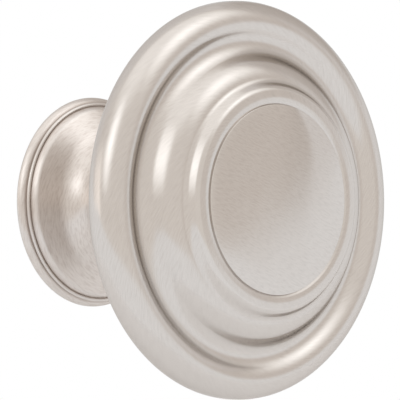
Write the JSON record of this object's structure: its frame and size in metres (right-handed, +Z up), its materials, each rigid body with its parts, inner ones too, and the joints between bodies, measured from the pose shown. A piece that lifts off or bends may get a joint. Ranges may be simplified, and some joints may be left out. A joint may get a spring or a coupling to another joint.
{
  "type": "mushroom knob",
  "caption": "Round mushroom-shaped cabinet knob with stepped rings round a slightly domed centre disc, a waisted neck, and a flanged base tapped for a screw from behind.",
  "frame": {"origin": "centre of the mounting face, on the axis of the screw hole", "axes": "+Y along the screw hole into the door or drawer front, so the knob projects along -Y; +Z is up as fitted"},
  "size_m": [0.032, 0.0217, 0.032],
  "materials": {
    "satin_nickel": "satin brushed nickel plating"
  },
  "bodies": {
    "root": {"knob": "satin_nickel"}
  },
  "joints": []
}
